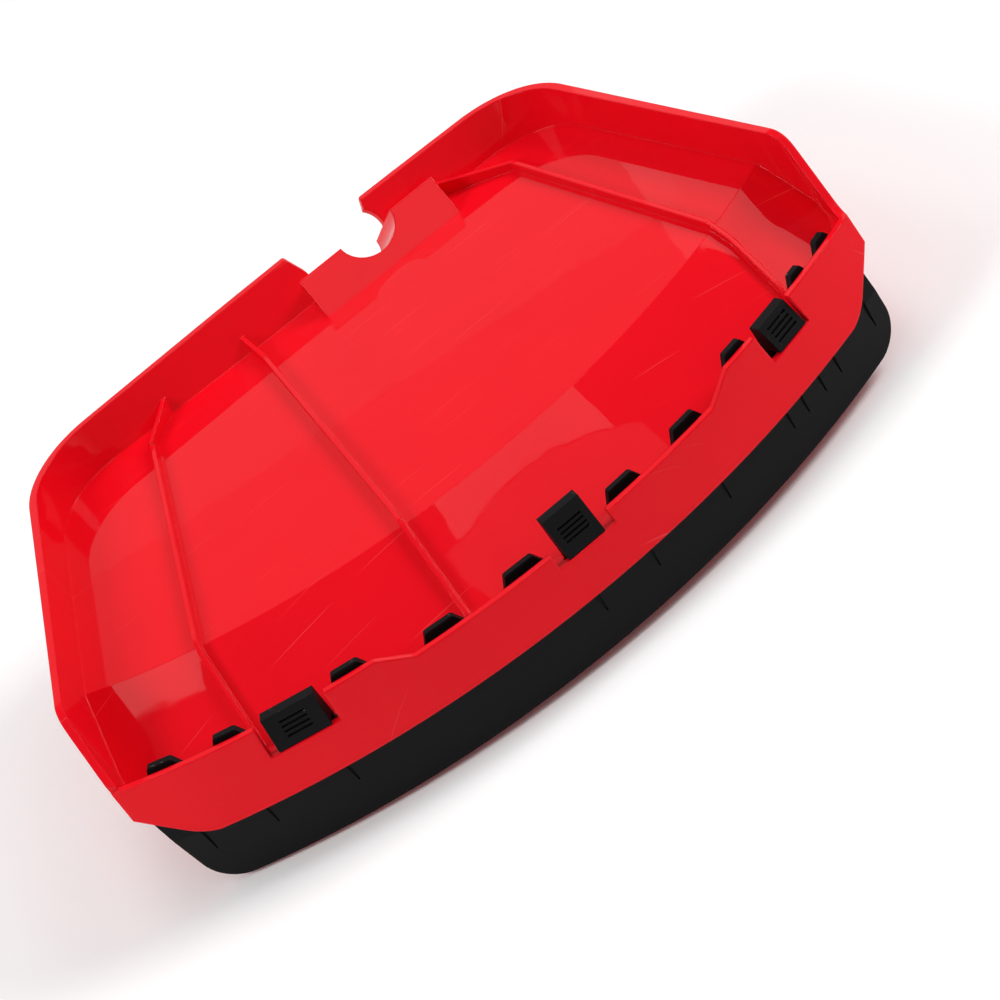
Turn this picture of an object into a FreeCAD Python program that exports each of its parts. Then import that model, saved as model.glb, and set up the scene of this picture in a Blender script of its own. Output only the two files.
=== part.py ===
import FreeCAD, Part
import math
import os

V = FreeCAD.Vector

# Blade guard for a shaft-driven trimmer: a moulded shell and a clip-on skirt.
# X runs across the guard, the skirt is towards -Y, Z is normal to the deck.
# All plan sizes are laid out from the middle of the deck, then moved to the tube seat.

# Fits
tube_r = 13.0
seat_gap = 0.1
clamp_gap = 0.6
snap_gap = 0.4
skirt_gap = 0.3

# Wall thickness
skin = 3.0
rim_wall = 3.4
skirt_wall = 2.6
rib_wall = 2.2

# Axis that the front slope, band and skirt turn about
axis_x = 6.0
axis_y = 355.0
sweep_angle = 60.0

# Deck, front slope and the trough at its foot, measured outward from the axis
deck_back = 25.0
crease_r = 327.0
slope_run = 45.0
slope_drop = 27.0
trough_w = 9.0

# Band that closes the front, with its raised ends and lower middle
band_top_z = -10.0
band_low_z = -40.0
band_flare = 8.0
dip_left = -61.0
dip_right = 88.0
dip_ramp = 14.0
dip_drop = 7.0
band_end_left = -197.0
band_end_right = 190.0
band_end_z = -16.0
band_end_run = 30.0
band_end_round = 24.0

# Plan of the deck and its rim
rear_half = 141.0
rear_top_y = 233.0
crown_x = 15.0
crown_top_y = 237.0
crown_foot_y = 223.2
rear_foot_y = 231.0
hip_half = 186.0
hip_y = 48.0
hip_round = 14.0
rear_round = 45.0
crown_run = 55.0
front_y = -80.0
front_left = -195.0
front_right = 171.0

# Rim height and its fall at the two front corners
rim_z = 20.0
fall_top_y = 52.0
fall_end_y = 25.0
fall_round = 10.0
loft_low_z = -45.0
loft_top_z = 30.0

# Ribs on the deck
rib_h = 4.0
gusset_h = 8.0
gusset_y = 202.0
rib_end = 1.0
rib_left = [(-62.5, 240.0), (-90.0, 207.0), (-126.0, 51.0), (-130.0, 4.0)]
rib_middle = [(-30.5, 240.0), (-27.5, 204.0), (-31.5, 38.0), (-36.0, -20.0)]
rib_right = [(74.0, 230.5), (112.0, 201.5), (144.0, 47.0), (145.0, 4.0)]

# Tube seat on the rear edge
tube_rise = 42.0
tube_skew = 20.0
seat_x = 43.0
seat_half = 37.5
seat_foot_y = 202.5
seat_face = 20.9
seat_len = 32.0
trough_wall = 3.0
bolt_half = 29.0
bolt_r = 3.25
bolt_back = 6.4
boss_r = 4.8
boss_len = 14.0
gap_left = 11.5
gap_right = 46.5
gap_flare = 4.0
gap_bend_z = 11.0
gap_round = 3.0
gap_lead = 6.0

# Clip-on skirt
skirt_left = -185.0
skirt_left_z = -69.0
skirt_right = 174.0
skirt_right_z = -64.0
skirt_lean = 9.0
skirt_round = 15.0
flange_lap = 1.0

# Tabs standing in the trough: middles in X and base widths
tab_set = 1.6
tab_thick = 2.8
tab_rise = 2.0
tab_taper_h = 7.5
tab_taper = 3.8
tab_round = 1.5
tab_x = [-164.2, -137.0, -85.0, -46.6, -9.0, 41.8, 76.0, 109.0, 149.0, 166.2]
tab_widths = [18.4, 17.4, 19.2, 20.4, 20.8, 19.6, 19.2, 16.6, 13.6, 13.6]

# Snap clips: middles in X, head widths, top heights and how far the notch reaches to each side
clip_x = [-110.7, 16.4, 128.9]
clip_widths = [24.0, 18.0, 17.0]
clip_tops = [-9.0, -5.0, -10.5]
notch_left = [17.4, 13.7, 10.2]
notch_right = [13.0, 14.2, 11.8]
notch_deep = 12.8
clip_over = 3.0
clip_lean = 5.5
grip_count = 4
grip_w = 11.5
grip_h = 1.0
grip_deep = 0.8
grip_pitch = 2.0

# Tapered sink marks on the skirt under the band: middles in X
mark_x = [-169.0, -143.0, -108.0, 8.0, 35.0, 73.5, 111.5, 120.5, 131.5, 141.5, 165.5]
mark_top_w = 2.4
mark_low_w = 0.6
mark_len = 11.0
mark_deep = 0.9

far = 300.0
overlap = 1.5
slope = math.atan2(slope_drop, slope_run)
foot_r = crease_r + slope_run
band_top_r = foot_r + trough_w
deck_in_r = axis_y - crown_top_y - deck_back
tab_in_r = foot_r + tab_set
flange_in_r = foot_r - flange_lap
rib_end_r = foot_r - rib_end
notch_z = band_top_z - notch_deep
clip_front_low_r = band_top_r + clip_over
clip_front_top_r = clip_front_low_r - clip_lean
under = skin * math.tan(slope / 2)
axis = V(axis_x, axis_y, 0)
up = V(0, 0, 1)


def band_r(z):
    return band_top_r + (band_top_z - z) * band_flare / (band_top_z - band_low_z)


def polar(r, angle, z):
    a = math.radians(angle)
    return V(axis_x + r * math.sin(a), axis_y - r * math.cos(a), z)


def angle_at(x, r):
    return math.degrees(math.asin((x - axis_x) / r))


def turned(profile, start, end):
    pts = [polar(r, start, z) for r, z in profile]
    face = Part.Face(Part.makePolygon(pts + [pts[0]]))
    return face.revolve(axis, up, end - start)


def rounded(corners, place):
    # closed wire through the corners, each with its own rounding radius
    edges = []
    joins = []
    n = len(corners)
    for i in range(n):
        p = V(corners[i][0], corners[i][1], 0)
        r = corners[i][2]
        a = V(corners[i - 1][0], corners[i - 1][1], 0) - p
        b = V(corners[(i + 1) % n][0], corners[(i + 1) % n][1], 0) - p
        a.normalize()
        b.normalize()
        if r == 0:
            joins.append((p, None, p))
            continue
        half = a.getAngle(b) / 2
        reach = r / math.tan(half)
        mid = a + b
        mid.normalize()
        middle = p + mid * (r / math.sin(half) - r)
        joins.append((p + a * reach, middle, p + b * reach))
    for i in range(n):
        start, middle, end = joins[i]
        if middle is not None:
            edges.append(Part.Arc(place(start), place(middle), place(end)).toShape())
        edges.append(Part.makeLine(place(end), place(joins[(i + 1) % n][0])))
    return Part.Wire(edges)


def on_plan(z):
    return lambda p: V(p.x, p.y, z)


def on_side(x):
    return lambda p: V(x, p.x, p.y)


def on_front(y):
    return lambda p: V(p.x, y, p.y)


def across(corners):
    # side profile in Y and Z, carried across the whole width
    return Part.Face(rounded(corners, on_side(-far))).extrude(V(2 * far, 0, 0))


def along(corners, start_y, end_y):
    # front profile in X and Z, carried backwards
    return Part.Face(rounded(corners, on_front(start_y))).extrude(V(0, end_y - start_y, 0))


def tray(inset):
    # deck outline at the bottom and top of a ruled wall, the rear leaning outwards
    wires = []
    for z in (loft_low_z, loft_top_z):
        t = z / rim_z
        crown_y = crown_foot_y + (crown_top_y - crown_foot_y) * t - inset
        rear_y = rear_foot_y + (rear_top_y - rear_foot_y) * t - inset
        rear_x = rear_half - inset
        hip_x = hip_half - inset
        turn = math.atan((crown_y - rear_y) / (rear_half + crown_x))
        turn = turn + math.atan((crown_y - rear_y) / (rear_half - crown_x))
        crown_round = crown_run / math.tan(abs(turn) / 2)
        wires.append(rounded([
            (-rear_x, rear_y, rear_round - inset),
            (crown_x, crown_y, crown_round),
            (rear_x, rear_y, rear_round - inset),
            (hip_x, hip_y, hip_round - inset),
            (front_right - inset, front_y, 0),
            (front_left + inset, front_y, 0),
            (-hip_x, hip_y, hip_round - inset),
        ], on_plan(z)))
    return Part.makeLoft(wires, True, True)


def swept(shift):
    # everything above the lower edge of the band, which climbs at both ends
    low = band_low_z - skirt_gap + shift
    return along([
        (band_end_left, far, 0),
        (band_end_left, band_end_z + shift, 0),
        (band_end_left + band_end_run, low, band_end_round),
        (band_end_right - band_end_run, low, band_end_round),
        (band_end_right, band_end_z + shift, 0),
        (band_end_right, far, 0),
    ], front_y, far)


def strip(a, b, wide):
    # upright slab along one straight run in plan
    d = V(b[0] - a[0], b[1] - a[1], 0)
    n = V(-d.y, d.x, 0)
    n.normalize()
    n = n * (wide / 2)
    d.normalize()
    p = V(a[0], a[1], -far) - d * (wide / 2)
    q = V(b[0], b[1], -far) + d * (wide / 2)
    ring = [p + n, q + n, q - n, p - n, p + n]
    return Part.Face(Part.makePolygon(ring)).extrude(V(0, 0, 2 * far))


def radial_slab(angle, r1, r2, corners):
    # flat plate across a radius: corners are widths and heights
    wire = rounded(corners, lambda p: V(p.x, -r1, p.y))
    solid = Part.Face(wire).extrude(V(0, r1 - r2, 0))
    solid.rotate(V(0, 0, 0), up, angle)
    solid.translate(axis)
    return solid


# Skin of deck, slope and band in one turned profile
trough_z = -slope_drop
skin_profile = [
    (deck_in_r, 0),
    (crease_r, 0),
    (foot_r, trough_z),
    (band_r(trough_z) - skin, trough_z),
    (band_top_r - skin, band_top_z),
    (band_top_r, band_top_z),
    (band_r(band_low_z), band_low_z),
    (band_r(band_low_z) - skin, band_low_z),
    (band_r(trough_z - skin) - skin, trough_z - skin),
    (foot_r - under, trough_z - skin),
    (crease_r - under, -skin),
    (deck_in_r, -skin),
]
outer = tray(0)
inner = tray(rim_wall)
shell = turned(skin_profile, -sweep_angle, sweep_angle).common(outer)


# Lower middle of the band and the three clip notches
dip_z = band_top_z - dip_drop
dip = along([
    (dip_left - dip_ramp, band_top_z, 0),
    (dip_left, dip_z, 0),
    (dip_right, dip_z, 0),
    (dip_right + dip_ramp, band_top_z, 0),
    (dip_right + dip_ramp, far, 0),
    (dip_left - dip_ramp, far, 0),
], front_y, far)
lip_zone = turned([
    (band_top_r - skin - overlap, dip_z - overlap),
    (band_r(band_low_z) + overlap, dip_z - overlap),
    (band_r(band_low_z) + overlap, far),
    (band_top_r - skin - overlap, far),
], -sweep_angle, sweep_angle)
shell = shell.cut(dip.common(lip_zone))
for x, left, right in zip(clip_x, notch_left, notch_right):
    shell = shell.cut(turned([
        (band_top_r - skin - overlap, notch_z),
        (band_r(band_low_z) + overlap, notch_z),
        (band_r(band_low_z) + overlap, far),
        (band_top_r - skin - overlap, far),
    ], angle_at(x - left, band_top_r), angle_at(x + right, band_top_r)))

# Rim wall standing on the skin
above_skin = turned([
    (deck_in_r, -overlap),
    (crease_r, -overlap),
    (foot_r, trough_z - overlap),
    (band_r(trough_z) - overlap, trough_z - overlap),
    (band_top_r - overlap, band_top_z),
    (band_top_r - overlap, loft_top_z),
    (deck_in_r, loft_top_z),
], -sweep_angle, sweep_angle)
rim_side = across([
    (front_y, -far, 0),
    (front_y, band_top_z, 0),
    (fall_end_y, band_top_z, fall_round),
    (fall_top_y, rim_z, fall_round),
    (far, rim_z, 0),
    (far, -far, 0),
])
shell = shell.fuse(outer.cut(inner).common(above_skin).common(rim_side))

# Ends of the band and of the trough climb together
ramp = swept(0).cut(swept(skin)).common(above_skin).common(outer)
shell = shell.common(swept(0)).fuse(ramp)

# Ribs, with gussets climbing the rear wall
rib_zone = turned([
    (deck_in_r, -overlap),
    (crease_r, -overlap),
    (rib_end_r, trough_z - overlap),
    (rib_end_r, trough_z + rib_h),
    (crease_r, rib_h),
    (deck_in_r, rib_h),
], -sweep_angle, sweep_angle)
gusset_zone = across([
    (gusset_y, -overlap, 0),
    (gusset_y, rib_h, 0),
    (rear_top_y, gusset_h, 0),
    (far, gusset_h, 0),
    (far, -overlap, 0),
])
for run in (rib_left, rib_middle, rib_right):
    rib = strip(run[0], run[1], rib_wall)
    gusset = rib.common(gusset_zone)
    for a, b in zip(run[1:], run[2:]):
        rib = rib.fuse(strip(a, b, rib_wall))
    shell = shell.fuse(rib.common(rib_zone).fuse(gusset).common(outer))

# Tube seat: an inclined block against the rear wall, cored from below
rise = math.radians(tube_rise)
skew = math.radians(tube_skew)
back = V(0, math.cos(rise), -math.sin(rise))
lift = V(0, math.sin(rise), math.cos(rise))
seat = V(seat_x, seat_foot_y, 0) + lift * seat_face
hold = seat + lift * clamp_gap
tube = V(-math.sin(skew), math.cos(rise) * math.cos(skew), -math.sin(rise) * math.cos(skew))


def behind_seat(point, half):
    # everything behind the seat face and below the shoulders
    start = V(point.x - half, point.y, point.z)
    ring = [start, start + back * far, start + (back - lift) * far, start - lift * far, start]
    return Part.Face(Part.makePolygon(ring)).extrude(V(2 * half, 0, 0))


above_deck = Part.makeBox(2 * far, 2 * far, far, V(-far, -far, -overlap))
block = behind_seat(seat, seat_half).common(above_deck).common(outer)
core_tip = seat + (back - lift) * skin
core = behind_seat(core_tip, seat_half - skin).common(inner)
shell = shell.fuse(block).cut(core)

# Half-round trough and bolt bosses inside the cored block
bore_r = tube_r + seat_gap
lead = math.sqrt(bore_r ** 2 - clamp_gap ** 2) * math.tan(skew)
trough_len = seat_len - lead
pipe_start = hold - tube * trough_len
pipe = Part.makeCylinder(bore_r + trough_wall, 2 * trough_len, pipe_start, tube)
pipe = pipe.common(behind_seat(seat, seat_half))
bolts = [seat + back * bolt_back + V(s * bolt_half, 0, 0) for s in (-1, 1)]
bosses = [Part.makeCylinder(boss_r, boss_len, p, lift * -1) for p in bolts]
shell = shell.fuse([pipe] + bosses)

# Bore for the tube, bolt holes and the open slot in the rear wall
bore = Part.makeCylinder(bore_r, 2 * far, hold - tube * far, tube)
shell = shell.cut(bore)
for p in bolts:
    shell = shell.cut(Part.makeCylinder(bolt_r, boss_len + 2 * overlap, p + lift * overlap, lift * -1))
slot = along([
    (gap_left, -far, 0),
    (gap_left, gap_bend_z, gap_flare),
    (gap_left - gap_flare, rim_z, gap_round),
    (gap_left - gap_flare - gap_lead, rim_z + overlap, 0),
    (gap_left - gap_flare - gap_lead, far, 0),
    (gap_right + gap_flare + gap_lead, far, 0),
    (gap_right + gap_flare + gap_lead, rim_z + overlap, 0),
    (gap_right + gap_flare, rim_z, gap_round),
    (gap_right, gap_bend_z, gap_flare),
    (gap_right, -far, 0),
], seat.y, far)
over = seat - back * far
shoulder_top = Part.makePolygon([over, over + lift * far, seat + back * far + lift * far, seat + back * far, over])
above_seat = Part.Face(shoulder_top).extrude(V(2 * far, 0, 0))
above_seat.translate(V(-far, 0, 0))
shell = shell.cut(slot.common(above_seat))

# Skirt wall and its inner flange under the trough
flange_z = trough_z - skin - snap_gap
skirt_top_r = band_r(flange_z) - skin - skirt_gap
skirt_r = band_r(band_low_z) - skin - skirt_gap
skirt = turned([
    (flange_in_r, flange_z),
    (skirt_top_r, flange_z),
    (skirt_r, band_low_z),
    (skirt_r, skirt_left_z),
    (skirt_r - skirt_wall, skirt_left_z),
    (skirt_r - skirt_wall, band_low_z),
    (skirt_top_r - skirt_wall, flange_z - skirt_wall),
    (flange_in_r, flange_z - skirt_wall),
], -sweep_angle, sweep_angle)
rise_r = band_r(band_end_z) - skin - skirt_gap
climb = turned([
    (skirt_top_r, flange_z),
    (rise_r, band_end_z),
    (rise_r - skirt_wall, band_end_z),
    (skirt_top_r - skirt_wall, flange_z),
], -sweep_angle, sweep_angle)
skirt = skirt.fuse(climb.cut(swept(-snap_gap)))
skirt = skirt.common(along([
    (skirt_left, far, 0),
    (skirt_left, band_end_z, 0),
    (skirt_left + skirt_lean, skirt_left_z, skirt_round),
    (skirt_right, skirt_right_z, skirt_round),
    (skirt_right, far, 0),
], front_y, axis_y))

# Tabs through slots in the trough
root_z = flange_z - skirt_wall / 2
for x, wide in zip(tab_x, tab_widths):
    angle = angle_at(x, tab_in_r)
    half = wide / 2
    lowered = dip_left < x < dip_right
    top_z = (dip_z if lowered else band_top_z) + tab_rise
    skirt = skirt.fuse(radial_slab(angle, tab_in_r, tab_in_r + tab_thick, [
        (-half, root_z, 0),
        (-half, top_z - tab_taper_h, 0),
        (tab_taper - half, top_z, tab_round),
        (half - tab_taper, top_z, tab_round),
        (half, top_z - tab_taper_h, 0),
        (half, root_z, 0),
    ]))
    hole = half + snap_gap
    shell = shell.cut(radial_slab(angle, tab_in_r - snap_gap, tab_in_r + tab_thick + snap_gap, [
        (-hole, flange_z, 0),
        (-hole, far, 0),
        (hole, far, 0),
        (hole, flange_z, 0),
    ]))

# Clips: an arm through the trough and a wedge head hooked over the notch
for x, wide, top_z in zip(clip_x, clip_widths, clip_tops):
    angle = angle_at(x, tab_in_r)
    half = wide / 2
    arm = radial_slab(angle, tab_in_r, tab_in_r + tab_thick, [
        (-half, root_z, 0),
        (-half, top_z, 0),
        (half, top_z, 0),
        (half, root_z, 0),
    ])
    hook_z = notch_z + snap_gap
    wedge = [
        V(-half, -tab_in_r, hook_z),
        V(-half, -clip_front_low_r, hook_z),
        V(-half, -clip_front_top_r, top_z),
        V(-half, -tab_in_r, top_z),
    ]
    head = Part.Face(Part.makePolygon(wedge + [wedge[0]])).extrude(V(wide, 0, 0))
    head.rotate(V(0, 0, 0), up, angle)
    head.translate(axis)
    skirt = skirt.fuse([arm, head])
    first_z = (top_z + hook_z + (grip_count - 1) * grip_pitch + grip_h) / 2
    for i in range(grip_count):
        z = first_z - i * grip_pitch
        t = (top_z - z) / (top_z - hook_z)
        r = clip_front_top_r + (clip_front_low_r - clip_front_top_r) * t
        skirt = skirt.cut(radial_slab(angle, r - grip_deep, r + grip_deep, [
            (-grip_w / 2, z - grip_h, 0),
            (-grip_w / 2, z, 0),
            (grip_w / 2, z, 0),
            (grip_w / 2, z - grip_h, 0),
        ]))
    hole = half + snap_gap
    shell = shell.cut(radial_slab(angle, tab_in_r - snap_gap, tab_in_r + tab_thick + snap_gap, [
        (-hole, flange_z, 0),
        (-hole, far, 0),
        (hole, far, 0),
        (hole, flange_z, 0),
    ]))

# Tapered marks on the outside of the skirt
for x in mark_x:
    skirt = skirt.cut(radial_slab(angle_at(x, skirt_r), skirt_r - mark_deep, skirt_r + overlap, [
        (-mark_top_w / 2, band_low_z + overlap, 0),
        (mark_top_w / 2, band_low_z + overlap, 0),
        (mark_low_w / 2, band_low_z - mark_len, 0),
        (-mark_low_w / 2, band_low_z - mark_len, 0),
    ]))

# Origin on the tube axis in the middle of the seat
origin = hold + tube * (seat_len / 2 - lead)
print("origin", round(origin.x, 4), round(origin.y, 4), round(origin.z, 4))
os.makedirs("parts", exist_ok=True)
for name, body in (("guard_shell", shell), ("skirt", skirt)):
    body = body.removeSplitter()
    body.translate(origin * -1)
    body.exportStep("parts/" + name + ".step")
    print(name, body.isValid(), len(body.Solids), len(body.Faces), round(body.Volume))
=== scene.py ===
import math
import bpy
from mathutils import Matrix, Quaternion, Vector


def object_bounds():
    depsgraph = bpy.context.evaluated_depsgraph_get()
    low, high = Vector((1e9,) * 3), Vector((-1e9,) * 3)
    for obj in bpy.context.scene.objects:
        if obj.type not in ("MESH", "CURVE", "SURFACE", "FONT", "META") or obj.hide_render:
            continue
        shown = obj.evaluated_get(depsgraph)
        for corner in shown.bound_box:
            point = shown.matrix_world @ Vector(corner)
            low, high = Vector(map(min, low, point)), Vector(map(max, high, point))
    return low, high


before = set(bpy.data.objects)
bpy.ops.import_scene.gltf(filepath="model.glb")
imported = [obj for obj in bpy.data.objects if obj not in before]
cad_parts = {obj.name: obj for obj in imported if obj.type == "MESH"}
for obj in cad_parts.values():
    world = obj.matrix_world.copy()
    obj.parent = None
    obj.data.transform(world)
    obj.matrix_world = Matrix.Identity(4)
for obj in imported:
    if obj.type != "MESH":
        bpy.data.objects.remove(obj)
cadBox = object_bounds()
mm = 0.001
print("guard loaded, CAD box", [round(v, 4) for corner in cadBox for v in corner])


def hexColor(text):  # sRGB hex to linear RGBA
    out = []
    for i in (0, 2, 4):
        c = int(text[i:i + 2], 16) / 255
        out.append(c / 12.92 if c <= 0.04045 else ((c + 0.055) / 1.055) ** 2.4)
    return (out[0], out[1], out[2], 1.0)


def addNode(tree, kind, links=None, values=None, **settings):  # one node with settings, values and links
    node = tree.nodes.new(kind)
    for key, value in settings.items():
        setattr(node, key, value)
    for socket, value in (values or {}).items():
        node.inputs[socket].default_value = value
    for socket, source in (links or {}).items():
        tree.links.new(source, node.inputs[socket])
    return node


def newMaterial(name):
    mat = bpy.data.materials.new(name)
    mat.use_nodes = True
    mat.node_tree.nodes.clear()
    return mat, mat.node_tree


def finishMaterial(tree, shader):
    addNode(tree, "ShaderNodeOutputMaterial", {"Surface": shader.outputs[0]})


def perMetre(sizeMm):  # noise scale for a pattern of that size
    return 1000.0 / sizeMm


# glossy ABS, injection moulded in a polished tool: deep clear red, mirror-like with a faint ripple
shellLook = {
    "red": "EE0D1E",
    "redDeep": "E20B1A",
    "redPale": "F2232C",
    "scratchRed": "F6605F",
    "flowMm": 60.0,  # slow change of tone where the melt flowed
    "scuffMm": 9.0,
    "scuffFrom": 0.62,
    "scuffTo": 0.8,
    "scuffShare": 0.35,
    "scratchLongMm": 70.0,
    "scratchWideMm": 0.8,
    "scratchDeg": 24.0,
    "scratchFrom": 0.72,
    "scratchTo": 0.78,
    "scratchShare": 0.3,
    "roughness": 0.015,
    "scuffRoughness": 0.06,  # added where the gloss is scuffed
    "dullFrom": 0.5,
    "peelMm": 14.0,
    "peelHighMm": 0.3,
    "peelStrength": 0.06,
    "edgeMm": 1.0,
    "ior": 1.54,
    "specular": 0.12,
}
shellMat, t = newMaterial("glossyRedAbsMoulded")
spot = addNode(t, "ShaderNodeTexCoord").outputs["Object"]
flow = addNode(t, "ShaderNodeTexNoise", {"Vector": spot}, {
    "Scale": perMetre(shellLook["flowMm"]),
    "Detail": 3.0,
})
tone = addNode(t, "ShaderNodeMix", {"Factor": flow.outputs["Fac"]}, data_type="RGBA")
tone.inputs["A"].default_value = hexColor(shellLook["red"])
tone.inputs["B"].default_value = hexColor(shellLook["redDeep"])
scuff = addNode(t, "ShaderNodeTexNoise", {"Vector": spot}, {
    "Scale": perMetre(shellLook["scuffMm"]),
    "Detail": 6.0,
    "Roughness": 0.7,
})
scuffMask = addNode(t, "ShaderNodeMapRange", {"Value": scuff.outputs["Fac"]}, {
    "From Min": shellLook["scuffFrom"],
    "From Max": shellLook["scuffTo"],
    "To Max": shellLook["scuffShare"],
})
worn = addNode(t, "ShaderNodeMix", {
    "Factor": scuffMask.outputs["Result"],
    "A": tone.outputs["Result"],
}, data_type="RGBA")
worn.inputs["B"].default_value = hexColor(shellLook["redPale"])

# hairline scratches: noise drawn out along one direction
scratchLong = perMetre(shellLook["scratchLongMm"])
lie = addNode(t, "ShaderNodeMapping", {"Vector": spot}, {
    "Rotation": (0, 0, math.radians(shellLook["scratchDeg"])),
    "Scale": (scratchLong, perMetre(shellLook["scratchWideMm"]), scratchLong),
})
scratch = addNode(t, "ShaderNodeTexNoise", {"Vector": lie.outputs["Vector"]}, {"Scale": 1.0, "Detail": 1.0})
scratchMask = addNode(t, "ShaderNodeMapRange", {"Value": scratch.outputs["Fac"]}, {
    "From Min": shellLook["scratchFrom"],
    "From Max": shellLook["scratchTo"],
    "To Max": shellLook["scratchShare"],
})
scratched = addNode(t, "ShaderNodeMix", {
    "Factor": scratchMask.outputs["Result"],
    "A": worn.outputs["Result"],
}, data_type="RGBA")
scratched.inputs["B"].default_value = hexColor(shellLook["scratchRed"])

# gloss, orange peel and softened edges
rough = addNode(t, "ShaderNodeMapRange", {"Value": scuff.outputs["Fac"]}, {
    "From Min": shellLook["dullFrom"],
    "From Max": shellLook["scuffTo"],
    "To Min": shellLook["roughness"],
    "To Max": shellLook["roughness"] + shellLook["scuffRoughness"],
})
peel = addNode(t, "ShaderNodeTexNoise", {"Vector": spot}, {
    "Scale": perMetre(shellLook["peelMm"]),
    "Detail": 1.0,
})
edge = addNode(t, "ShaderNodeBevel", None, {"Radius": shellLook["edgeMm"] * mm}, samples=6)
ripple = addNode(t, "ShaderNodeBump", {
    "Height": peel.outputs["Fac"],
    "Normal": edge.outputs["Normal"],
}, {
    "Strength": shellLook["peelStrength"],
    "Distance": shellLook["peelHighMm"] * mm,
})
shellShader = addNode(t, "ShaderNodeBsdfPrincipled", {
    "Base Color": scratched.outputs["Result"],
    "Roughness": rough.outputs["Result"],
    "Normal": ripple.outputs["Normal"],
}, {
    "IOR": shellLook["ior"],
    "Specular IOR Level": shellLook["specular"],
})
finishMaterial(t, shellShader)

# black polypropylene, moulded in a spark-eroded tool: dull charcoal black with a fine grain
skirtLook = {
    "black": "0B0B0D",
    "grey": "111113",
    "dust": "8C8886",
    "cloudMm": 40.0,
    "dustMm": 2.2,
    "dustFrom": 0.68,
    "dustTo": 0.76,
    "dustShare": 0.6,
    "topFrom": 0.4,  # upward share of the normal where dust begins to lie
    "topTo": 0.8,
    "grainMm": 0.9,  # real grain is finer, drawn as coarse as it needs to show
    "grainHighMm": 0.1,
    "grainStrength": 0.25,
    "edgeMm": 0.5,
    "roughLow": 0.46,
    "roughHigh": 0.60,
    "ior": 1.49,
    "specular": 0.12,
}
skirtMat, t = newMaterial("blackPolypropyleneGrained")
spot = addNode(t, "ShaderNodeTexCoord").outputs["Object"]
cloud = addNode(t, "ShaderNodeTexNoise", {"Vector": spot}, {
    "Scale": perMetre(skirtLook["cloudMm"]),
    "Detail": 4.0,
})
tone = addNode(t, "ShaderNodeMix", {"Factor": cloud.outputs["Fac"]}, data_type="RGBA")
tone.inputs["A"].default_value = hexColor(skirtLook["black"])
tone.inputs["B"].default_value = hexColor(skirtLook["grey"])
speck = addNode(t, "ShaderNodeTexNoise", {"Vector": spot}, {
    "Scale": perMetre(skirtLook["dustMm"]),
    "Detail": 2.0,
})
speckMask = addNode(t, "ShaderNodeMapRange", {"Value": speck.outputs["Fac"]}, {
    "From Min": skirtLook["dustFrom"],
    "From Max": skirtLook["dustTo"],
    "To Max": skirtLook["dustShare"],
})
facing = addNode(t, "ShaderNodeNewGeometry")
tilt = addNode(t, "ShaderNodeSeparateXYZ", {"Vector": facing.outputs["Normal"]})
topMask = addNode(t, "ShaderNodeMapRange", {"Value": tilt.outputs["Z"]}, {
    "From Min": skirtLook["topFrom"],
    "From Max": skirtLook["topTo"],
})
dustMask = addNode(t, "ShaderNodeMath", {
    0: speckMask.outputs["Result"],
    1: topMask.outputs["Result"],
}, operation="MULTIPLY")  # dust lies on the tops of tabs and clips only
dusty = addNode(t, "ShaderNodeMix", {
    "Factor": dustMask.outputs["Value"],
    "A": tone.outputs["Result"],
}, data_type="RGBA")
dusty.inputs["B"].default_value = hexColor(skirtLook["dust"])
grain = addNode(t, "ShaderNodeTexNoise", {"Vector": spot}, {
    "Scale": perMetre(skirtLook["grainMm"]),
    "Detail": 2.0,
})
edge = addNode(t, "ShaderNodeBevel", None, {"Radius": skirtLook["edgeMm"] * mm}, samples=6)
grainBump = addNode(t, "ShaderNodeBump", {
    "Height": grain.outputs["Fac"],
    "Normal": edge.outputs["Normal"],
}, {
    "Strength": skirtLook["grainStrength"],
    "Distance": skirtLook["grainHighMm"] * mm,
})
rough = addNode(t, "ShaderNodeMapRange", {"Value": cloud.outputs["Fac"]}, {
    "To Min": skirtLook["roughLow"],
    "To Max": skirtLook["roughHigh"],
})
skirtShader = addNode(t, "ShaderNodeBsdfPrincipled", {
    "Base Color": dusty.outputs["Result"],
    "Roughness": rough.outputs["Result"],
    "Normal": grainBump.outputs["Normal"],
}, {
    "IOR": skirtLook["ior"],
    "Specular IOR Level": skirtLook["specular"],
})
finishMaterial(t, skirtShader)

for nodeName, mat in (("guard_shell", shellMat), ("skirt", skirtMat)):
    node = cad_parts[nodeName]
    if not node.material_slots:
        node.data.materials.append(mat)
    for s in node.material_slots:
        s.material = mat
print("materials set on shell and skirt")

# matt white floor paint, rolled: even and pale, just under the lowest edge
floorLook = {
    "white": "FCFCFC",
    "whitePale": "FEFEFE",
    "patchMm": 400.0,
    "roughness": 0.9,
    "specular": 0.1,
    "gapMm": 2.0,
    "sizeM": 8.0,
}
floorMat, t = newMaterial("paintedStudioFloor")
spot = addNode(t, "ShaderNodeTexCoord").outputs["Object"]
patch = addNode(t, "ShaderNodeTexNoise", {"Vector": spot}, {"Scale": perMetre(floorLook["patchMm"])})
tone = addNode(t, "ShaderNodeMix", {"Factor": patch.outputs["Fac"]}, data_type="RGBA")
tone.inputs["A"].default_value = hexColor(floorLook["white"])
tone.inputs["B"].default_value = hexColor(floorLook["whitePale"])
floorShader = addNode(t, "ShaderNodeBsdfPrincipled", {"Base Color": tone.outputs["Result"]}, {
    "Roughness": floorLook["roughness"],
    "Specular IOR Level": floorLook["specular"],
})
finishMaterial(t, floorShader)
floorZ = cadBox[0][2] - floorLook["gapMm"] * mm
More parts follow.
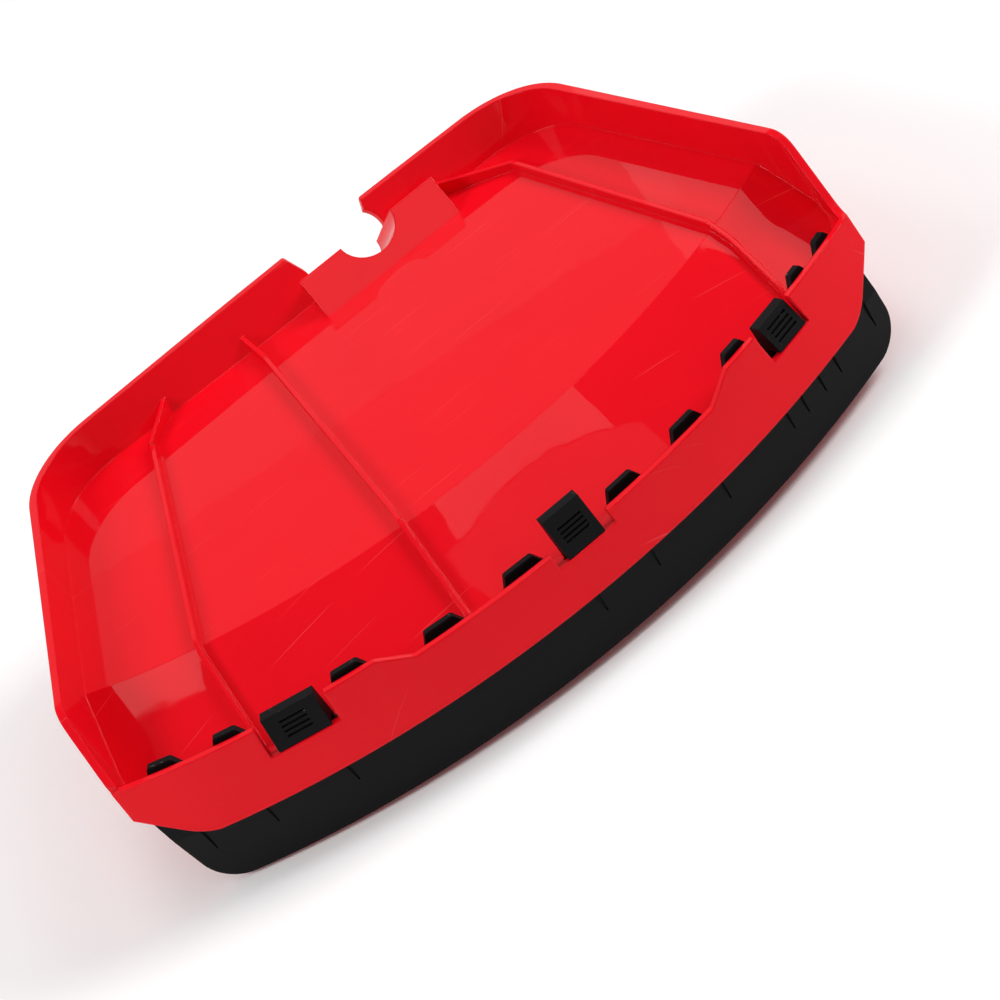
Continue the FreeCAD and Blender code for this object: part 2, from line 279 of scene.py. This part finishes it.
bpy.ops.mesh.primitive_plane_add(size=floorLook["sizeM"], location=(0, 0, floorZ))
floor = bpy.context.object
floor.name = "studioFloor"
floor.data.materials.append(floorMat)

# soft boxes: place and aim in metres, turn about the aim in degrees, width, height, power
lights = {
    "leftKey": ((-2.0, -0.35, 1.4), (-0.03, -0.12, 0), 0, 1.0, 1.0, 27.5),
    "rightKey": ((2.0, -0.35, 1.4), (-0.03, -0.12, 0), 0, 1.0, 1.0, 34.5),
    # sheen on the face of the tube seat
    "seatGlow": ((0.12, -1.6, 2.0), (0, 0, 0), 0, 0.7, 0.6, 2.6),
    # even sheen over the deck, paler at its back and at its right
    "rearWide": ((0.1, 1.6, 0.85), (0.1, 0, 0.85), 0, 2.4, 1.1, 2.1),
    "rearGlow": ((0.05, 1.59, 0.62), (0.05, 0, 0.62), -7, 0.9, 0.7, 0.25),
    "rightGlow": ((0.80, 1.58, 0.85), (0.80, 0, 0.85), 0, 0.76, 1.0, 1.2),
    # patch in the middle of the slope and the fainter field below it
    "overheadGlow": ((0.18, 0.245, 2.0), (0.18, 0.245, 0), 3, 0.615, 1.24, 5.8),
    "overheadSoft": ((0.24, -0.56, 2.0), (0.24, -0.56, 0), 3, 0.73, 0.37, 0.7),
    # pale patches at the two ends of the slope
    "leftGlow": ((-1.15, 0.41, 2.0), (-1.15, 0.41, 0), -34, 0.66, 0.7, 4.8),
    "rightTop": ((1.55, 0.3, 2.0), (1.55, 0.3, 0), 34, 0.9, 1.0, 8.0),
}
for name, (spotAt, aim, turnDeg, wide, high, power) in lights.items():
    data = bpy.data.lights.new(name, "AREA")
    data.shape = "RECTANGLE"
    data.size = wide
    data.size_y = high
    data.energy = power
    lamp = bpy.data.objects.new(name, data)
    bpy.context.collection.objects.link(lamp)
    lamp.location = spotAt
    aimed = (Vector(aim) - Vector(spotAt)).to_track_quat("-Z", "Y")
    lamp.rotation_euler = (aimed @ Quaternion((0, 0, 1), math.radians(turnDeg))).to_euler()

# dim white room, so that shadows stay open
roomLook = {"white": "FFFFFF", "strength": 0.25}
world = bpy.data.worlds.new("studioRoom")
bpy.context.scene.world = world
world.use_nodes = True
room = world.node_tree.nodes["Background"]
room.inputs["Color"].default_value = hexColor(roomLook["white"])
room.inputs["Strength"].default_value = roomLook["strength"]
print("floor and lights placed")

# camera: long lens, seen from the skirt side and rolled
cameraLook = {
    "placeMm": (-115.9, -1228.0, 644.7),
    "right": (0.9978, -0.0606, 0.0275),
    "up": (0.0100, 0.5452, 0.8382),
    "rollDeg": 38.5,
    "lensMm": 111.6,
    "sensorMm": 36.0,
    "clipEndM": 50.0,
}
right = Vector(cameraLook["right"]).normalized()
upward = Vector(cameraLook["up"])
upward = (upward - right * upward.dot(right)).normalized()
roll = math.radians(cameraLook["rollDeg"])
camRight = right * math.cos(roll) - upward * math.sin(roll)
camUp = right * math.sin(roll) + upward * math.cos(roll)
camBack = camRight.cross(camUp)
cameraData = bpy.data.cameras.new("photoCamera")
cameraData.sensor_width = cameraLook["sensorMm"]
cameraData.lens = cameraLook["lensMm"]
cameraData.dof.use_dof = False
cameraData.clip_end = cameraLook["clipEndM"]
camera = bpy.data.objects.new("photoCamera", cameraData)
bpy.context.collection.objects.link(camera)
turn = Matrix((camRight, camUp, camBack)).transposed().to_4x4()
camera.matrix_world = Matrix.Translation(Vector(cameraLook["placeMm"]) * mm) @ turn
bpy.context.scene.camera = camera
bpy.context.scene.view_settings.view_transform = "Standard"
print("camera set")
